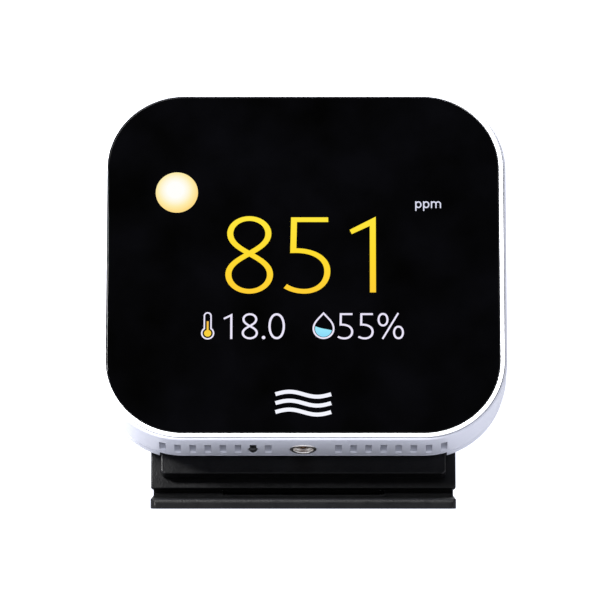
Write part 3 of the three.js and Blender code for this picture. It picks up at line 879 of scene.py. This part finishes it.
def stroke(points, across, tall=None):
    """The outline of an open stroke."""
    tall = tall or across
    left = beside(points, across, tall, False)
    right = beside(points, -across, -tall, False)
    return [left + right[::-1]]


def ring(points, across, tall=None):
    """The two outlines of a closed stroke."""
    tall = tall or across
    return [beside(points, across, tall, True), beside(points, -across, -tall, True)]


def cutout(contours, front, back):
    """A flat plate of that outline, holes and all, between two depths."""
    bm = bmesh.new()
    rims = [[bm.verts.new((u, front, v)) for u, v in contour] for contour in contours]
    edges = [bm.edges.new((rim[i - 1], rim[i])) for rim in rims for i in range(len(rim))]
    bmesh.ops.triangle_fill(bm, use_beauty=True, use_dissolve=False, edges=edges)
    rear = {v: bm.verts.new((v.co.x, back, v.co.z)) for v in list(bm.verts)}
    for face in list(bm.faces):
        bm.faces.new([rear[v] for v in reversed(face.verts)])
    for rim in rims:
        for i in range(len(rim)):
            bm.faces.new((rim[i - 1], rim[i], rear[rim[i]], rear[rim[i - 1]]))
    return bm


def mark(name, shapes, material):
    """One lit sign on the display, from one or more sets of contours."""
    parts = [cutout(contours, MARK_FRONT, MARK_BACK) for contours in shapes]
    return piece(name, together(parts), "head", CASE, material)


def lit(name, stops, centre=None):
    """A lit colour, from stops of (millimetres, colour) up the screen or out from a centre."""
    made = Finish(name, roughness=0.3, specular=0.0)
    made.set("Base Color", (0, 0, 0, 1))
    made.set("Emission Strength", 1.0)
    base = UP.dot(CASE.translation) if centre is None else 0.0
    measure = made.node("ShaderNodeVectorMath")
    measure.operation = "DOT_PRODUCT" if centre is None else "DISTANCE"
    measure.inputs[1].default_value = UP if centre is None else CASE @ (Vector(centre) * MM)
    made.join(made.place(), measure.inputs[0])
    ranged = made.node("ShaderNodeMapRange")
    ranged.inputs["From Min"].default_value = stops[0][0] * MM + base
    ranged.inputs["From Max"].default_value = stops[-1][0] * MM + base
    made.join(measure.outputs["Value"], ranged.inputs["Value"])
    ramp = made.node("ShaderNodeValToRGB")
    length = stops[-1][0] - stops[0][0]
    for i, (where, colour) in enumerate(stops):
        share = (where - stops[0][0]) / length
        if i < 2:
            element = ramp.color_ramp.elements[i]
            element.position = share
        else:
            element = ramp.color_ramp.elements.new(share)
        element.color = srgb(*colour)
    made.join(ranged.outputs["Result"], ramp.inputs["Fac"])
    made.join(ramp.outputs["Color"], made.shader.inputs["Emission Color"])
    return made.material


def trimmed(points, measure):
    """The part of a path where the measure is positive, from the exact place where it starts."""
    last = max(i for i, p in enumerate(points[: len(points) // 2]) if measure(p) < 0)
    (u0, v0), (u1, v1) = points[last], points[last + 1]
    share = -measure((u0, v0)) / (measure((u1, v1)) - measure((u0, v0)))
    return [(u0 + share * (u1 - u0), v0 + share * (v1 - v0))] + points[last + 1:]


def lobe(end_v, wide_v, half, cross):
    """The right half of one bowl of an eight: its centre line from the crossing to its far end."""
    way = 1 if end_v > cross else -1
    rise = abs(wide_v - cross)
    first = (half * 0.49, cross + way * rise * 0.27)
    second = (half, cross + way * rise * 0.53)
    side = curve((0, cross), first, second, (half, wide_v), 16)
    top = (end_v - wide_v) * KAPPA
    side += curve((half, wide_v), (half, wide_v + top), (half * KAPPA, end_v), (0, end_v), 16)
    return side + [(0, end_v)]


def eight(centre, top, bottom, cross, upper, lower, across, tall):
    """A figure eight: its outline and its two counters."""
    upper_line = lobe(top - tall / 2, top - (top - cross) * 0.465, upper - across / 2, cross)
    lower_line = lobe(bottom + tall / 2, bottom + (cross - bottom) * 0.475, lower - across / 2, cross)
    right, counters = [], []
    for line, flip in ((lower_line, -1), (upper_line, 1)):
        outer = beside(line, -flip * across, -flip * tall, False)
        outer = trimmed(outer, lambda p, flip=flip: (p[1] - cross) * flip)
        right = right + outer[1:] if right else outer[::-1]
        counters.append(trimmed(beside(line, flip * across, flip * tall, False), lambda p: p[0]))
    contours = []
    for side in [right] + counters:
        points = [(centre + u, v) for u, v in side]
        points += [(centre - u, v) for u, v in side[::-1][1:-1]]
        contours.append(points)
    return contours


def five(left, right, top, bottom, across, tall):
    """A five as one stroke: bar, stem and bowl."""
    height = top - bottom
    width = right - left
    bar = top - tall / 2
    low = bottom + tall / 2
    stem = left + width * 0.14 + across / 2
    wide = right - across / 2
    shelf = bottom + height * 0.563
    belly = (wide, bottom + height * 0.294)
    base = (left + 0.44 * width, low)
    hook = (left + 0.14 * width, low + 0.028 * height)
    end = (left + 0.035 * width, low + 0.068 * height)
    over = (stem + (wide - stem) * 0.6, shelf + 0.01 * height)
    points = [(right - width * 0.045, bar), (stem + across * 0.12, bar)]
    points += curve((stem, shelf), over, (wide, shelf - 0.1 * height), belly, 20)
    points += curve(belly, (wide, bottom + height * 0.13), (left + 0.71 * width, low), base, 16)
    points += curve(base, (left + 0.28 * width, low), hook, end, 10)
    points.append(end)
    return stroke(points, across, tall)


def one(left, right, top, bottom, across):
    """A one with a slanting flag and no foot."""
    height = top - bottom
    flag = top - height * 0.174
    shape = [(right, top), (left, flag), (left + across * 0.35, flag - across * 0.75)]
    shape += [(right - across, top - height * 0.122), (right - across, bottom), (right, bottom)]
    return [shape]


def zero(centre, half, top, bottom, across):
    middle = (centre, (top + bottom) / 2)
    tall = (top - bottom) / 2 - across / 2
    points = []
    for u, v in arc(middle, 1, 1, 0, 354, 59):
        cos, sin = u - middle[0], v - middle[1]
        side = math.copysign(abs(cos) ** 0.92, cos) * (half - across / 2)
        points.append((middle[0] + side, middle[1] + sin * tall))
    return ring(points, across)


def thermometer(centre, top, bulb, tube, radius, line):
    """The outline of a thermometer: a round-topped tube on a bulb."""
    opening = math.degrees(math.asin(tube / radius))
    points = arc((centre, bulb), radius, radius, 90 + opening, 450 - opening, 40)
    points += arc((centre, top - tube), tube, tube, 0, 180, 16)
    return ring(points, line)


def drop_line(centre, apex, middle, radius):
    """A droplet's centre line, clockwise from its apex."""
    side = [(centre, apex), (centre + 0.5 * radius, apex - 1.4)]
    side += [(centre + radius, middle + radius * 0.66), (centre + radius, middle)]
    points = curve(*side, 16)
    points += arc((centre, middle), radius, radius, 0, -180, 32)
    return points + [(2 * centre - u, v) for u, v in points[15:0:-1]]


def water(centre, middle, radius, left_level, right_level):
    """The water in the droplet: a round bottom and a wavy top."""
    start = math.degrees(math.asin((right_level - middle) / radius))
    end = 180 - math.degrees(math.asin((left_level - middle) / radius))
    points = arc((centre, middle), radius, radius, start, end - 360, 30)
    left, right = points[-1], points[0]
    middle_left = (centre - radius * 0.25, left_level - 0.62)
    middle_right = (centre + radius * 0.15, right_level + 0.45)
    points += curve(left, middle_left, middle_right, right, 12)[1:]
    return [points]


def letter_p(stem, line, top, base, low, bowl):
    middle = (stem + bowl, (top + base) / 2)
    round_part = ring(arc(middle, bowl, (top - base) / 2 - line / 2, 0, 350, 35), line)
    return [stroke([(stem, top), (stem, low)], line), round_part]


def letter_m(stems, line, top, base):
    parts = [stroke([(stems[0], top), (stems[0], base)], line)]
    half = (stems[1] - stems[0]) / 2
    for left, right in zip(stems, stems[1:]):
        arch = arc(((left + right) / 2, top - line / 2 - half), half, half, 180, 0, 10)
        parts.append(stroke(arch + [(right, base)], line))
    return parts


def wave(centre, v, length, height, line):
    """One line of the air sign: a stroke along one full wave."""
    points = []
    for i in range(41):
        share = i / 40
        lift = math.sin(share * 2 * math.pi) * height
        points.append((centre + (share - 0.5) * length, v + lift))
    return stroke(points, line)


BIG = (1.42, 1.16)  # the reading's stroke, across and tall
SMALL = (0.5, 0.46)  # the stroke of the two lower readings
TUBE = -22.39
BULB = -17.33
DROP = 4.74
LETTER = {"line": 0.29, "top": 15.6, "base": 13.9}


def build_reading():
    """The large reading."""
    amber = lit("lit_amber", [(-7.4, (255, 206, 52)), (2.5, (255, 221, 48)), (12.1, (255, 232, 62))])
    mark("reading_8", [eight(-12.7, 11.85, -7.49, 2.5, 5.19, 5.59, *BIG)], amber)
    mark("reading_5", [five(-4.6, 6.35, 11.56, -7.49, *BIG)], amber)
    mark("reading_1", [one(10.9, 17.05, 11.73, -7.18, BIG[0])], amber)


def build_temperature(pale):
    mark("temperature_1", [one(-18.7, -16.61, -12.46, -18.74, SMALL[0])], pale)
    mark("temperature_8", [eight(-12.52, -12.38, -18.82, -15.55, 1.74, 1.89, *SMALL)], pale)
    mark("temperature_point", [[arc((-9.3, -18.4), 0.42, 0.42, 0, 345, 23)]], pale)
    mark("temperature_0", [zero(-6.23, 1.93, -12.38, -18.8, 0.52)], pale)


def build_humidity(pale):
    mark("humidity_5a", [five(7.97, 11.69, -12.36, -18.84, *SMALL)], pale)
    mark("humidity_5b", [five(12.78, 16.47, -12.36, -18.84, *SMALL)], pale)
    rings = [zero(18.67, 1.27, -12.3, -15.63, 0.46), zero(22.28, 1.27, -15.47, -18.8, 0.46)]
    mark("humidity_percent", rings + [stroke([(22.25, -12.32), (18.55, -18.74)], 0.42)], pale)


def build_thermometer(pale):
    mark("thermometer_outline", [thermometer(TUBE, -12.27, BULB, 0.78, 1.38, 0.34)], pale)
    column = stroke([(TUBE, -14.36), (TUBE, -16.7)], 0.44)
    bulb = [arc((TUBE, BULB), 0.84, 0.84, 0, 350, 35)]
    gold = lit("lit_gold", [(-18.1, (250, 214, 60)), (-14.0, (250, 188, 74))])
    mark("thermometer_fill", [column, bulb], gold)


def build_droplet(pale):
    mark("droplet_outline", [ring(drop_line(DROP, -12.36, -16.2, 2.36), 0.4)], pale)
    blue = lit("lit_blue", [(-18.4, (136, 216, 248)), (-15.5, (160, 238, 254))])
    mark("droplet_water", [water(DROP, -16.24, 1.98, -15.62, -16.62)], blue)


def build_unit(white):
    units = []
    for stem in (26.51, 28.36):
        units += letter_p(stem, low=13.2, bowl=0.6, **LETTER)
    mark("unit_ppm", units + letter_m([30.2, 31.25, 32.3], **LETTER), white)


def build_sun():
    """A disc that is brightest a little up and left of its own middle."""
    stops = [(0.0, (255, 255, 253)), (1.9, (255, 255, 251)), (3.0, (255, 249, 224))]
    stops += [(4.2, (254, 237, 172)), (5.4, (254, 220, 136))]
    shining = lit("lit_sun", stops, centre=(-30.15, 0.1, 18.45))
    mark("sun", [[arc((-29.8, 17.8), 4.98, 5.06, 0, 354, 59)]], shining)


def build_display():
    build_reading()
    pale = lit("lit_pale", [(-19.0, (240, 235, 253)), (-11.8, (235, 230, 250))])
    build_temperature(pale)
    build_humidity(pale)
    build_thermometer(pale)
    build_droplet(pale)
    white = lit("lit_white", [(-40, (246, 247, 255)), (20, (222, 224, 244))])
    build_unit(white)
    build_sun()
    mark("air_sign", [wave(0, v, 13.0, 0.62, 0.95) for v in (-32.4, -34.6, -36.8)], white)


# ---- Inner pieces that keep their CAD shape ---------------------------------------------------


def dress_inner_nodes():
    inner = {
        "glass_adhesive": "tape_black", "lcd_panel": "lcd_dark", "lcd_backlight": "diffuser_white",
        "lcd_bracket": "inner_plastic", "lcd_ribbon": "ribbon_amber", "ribbon_connector": "inner_plastic",
        "main_board": "board_green", "wifi_module": "shield_tin", "processor": "chip_black",
        "buzzer": "chip_black", "sensor_board": "board_green", "co2_sensor": "shield_tin",
        "climate_sensor": "chip_black", "sensor_header": "chip_black", "reset_switch": "chip_black",
    }
    for node, slot in inner.items():
        mesh = frame["nodes"][node].data
        mesh.materials.clear()
        mesh.materials.append(FINISHES[slot])


# ---- Stage, light and camera ------------------------------------------------------------------


def stage_material():
    """A white sweep that glows evenly bright to the camera, and for every other ray glows with a painted
    pool of light round the object, which lights the object from below.
    """
    made = Finish("sweep_white", roughness=0.9, specular=0.0)
    made.blend(made.noise(400.0), (0.1, 0.1, 0.103, 1), (0.12, 0.12, 0.123, 1))
    # Painted pool of light: for rays other than the camera's, the sweep glows brightest near the object
    # and fades further out. This stands in for light thrown back off the floor.
    away = made.node("ShaderNodeVectorMath")
    away.operation = "LENGTH"
    made.join(made.place(), away.inputs[0])
    painted_light_pool = made.node("ShaderNodeMapRange")
    for name, value in (("From Min", 0.4), ("From Max", 1.3), ("To Min", 0.8), ("To Max", 0.12)):
        painted_light_pool.inputs[name].default_value = value
    made.join(away.outputs["Value"], painted_light_pool.inputs["Value"])
    path = made.node("ShaderNodeLightPath")
    shown = made.node("ShaderNodeMapRange")
    shown.inputs["To Max"].default_value = 1.3
    made.join(path.outputs["Is Camera Ray"], shown.inputs["Value"])
    made.join(painted_light_pool.outputs["Result"], shown.inputs["To Min"])
    # The painted glow is tinted a little blue, so the light it gives the object is blue-tinted.
    made.set("Emission Color", (0.85, 0.87, 1.0, 1))
    made.join(shown.outputs["Result"], made.shader.inputs["Emission Strength"])
    return made.material


STAGE_FLOOR = -0.05  # just under the feet, so that the two surfaces don't coincide
STAGE_RADIUS = 4000
SWEEP_RADIUS = 800
STAGE_TOP = 1300


def stage_profile():
    """(radius, height) pairs, in millimetres, from the middle of the floor to the wall's top."""
    profile = [(0, STAGE_FLOOR), (1000, STAGE_FLOOR), (STAGE_RADIUS, STAGE_FLOOR)]
    for i in range(1, 9):
        turn = math.pi / 2 * i / 8
        rise = SWEEP_RADIUS * (1 - math.cos(turn))
        profile.append((STAGE_RADIUS + SWEEP_RADIUS * math.sin(turn), STAGE_FLOOR + rise))
    return profile + [(STAGE_RADIUS + SWEEP_RADIUS, STAGE_TOP)]


def build_stage():
    """A round floor that sweeps up into a low wall all the way round."""
    angles = [2 * math.pi * i / 96 for i in range(96)]
    bm = bmesh.new()
    rings = []
    for radius, height in stage_profile():
        r = max(radius, 1) * MM
        rings.append([bm.verts.new((r * math.cos(a), r * math.sin(a), height * MM)) for a in angles])
    for a, b in zip(rings, rings[1:]):
        for i in range(len(a)):
            bm.faces.new((a[i - 1], a[i], b[i], b[i - 1]))
    bm.faces.new(rings[0][::-1])
    mesh = bpy.data.meshes.new("sweep")
    bm.to_mesh(mesh)
    bm.free()
    mesh.shade_smooth()
    mesh.materials.append(stage_material())
    obj = bpy.data.objects.new("sweep", mesh)
    bpy.context.scene.collection.objects.link(obj)


def softbox(name, place, size, power, colour=(1, 1, 1)):
    """A square area light, size metres wide, aimed at the object."""
    light = bpy.data.lights.new(name, "AREA")
    light.shape = "RECTANGLE"
    light.size = size
    light.size_y = size
    light.energy = power
    light.color = colour
    obj = bpy.data.objects.new(name, light)
    bpy.context.scene.collection.objects.link(obj)
    obj.location = place
    aim = Vector((0, -0.01, 0.05)) - Vector(place)
    obj.rotation_mode = "QUATERNION"
    obj.rotation_quaternion = aim.to_track_quat("-Z", "Y")


def build_lights():
    softbox("key", (-0.75, -0.45, 1.5), 1.3, 62)
    softbox("left", (-0.82, -0.8, 0.72), 0.2, 42)
    softbox("fill", (1.3, -0.35, 0.8), 0.8, 6, (0.96, 0.98, 1.0))
    softbox("back", (0.2, 1.2, 1.0), 1.0, 14)
    world = bpy.data.worlds.new("world")
    world.use_nodes = True
    background = world.node_tree.nodes["Background"]
    background.inputs["Color"].default_value = (0.9, 0.93, 1.0, 1)
    background.inputs["Strength"].default_value = 0.01
    bpy.context.scene.world = world


CAMERA_AWAY = 1.68
CAMERA_ASIDE = 0.0004
CAMERA_DROP = 0.00954


def build_camera():
    """Straight in front of the cover glass and a little below its middle, placed in metres."""
    low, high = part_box("cover_glass")
    middle = (low + high) / 2
    data = bpy.data.cameras.new("camera")
    data.sensor_width = 36
    data.lens = 422
    data.clip_start = 0.05
    data.clip_end = 30
    obj = bpy.data.objects.new("camera", data)
    bpy.context.scene.collection.objects.link(obj)
    obj.location = (middle.x + CAMERA_ASIDE, middle.y - CAMERA_AWAY, middle.z - CAMERA_DROP)
    obj.rotation_euler = (math.pi / 2, 0, 0)
    bpy.context.scene.camera = obj
    bpy.context.scene.view_settings.view_transform = "Standard"


build_shell()
build_bezel()
build_glass()
build_cover()
build_screws()
build_jack()
build_button()
build_mount_plate()
build_upright()
build_foot()
build_pads()
build_hinge()
build_display()
dress_inner_nodes()
build_stage()
build_lights()
build_camera()
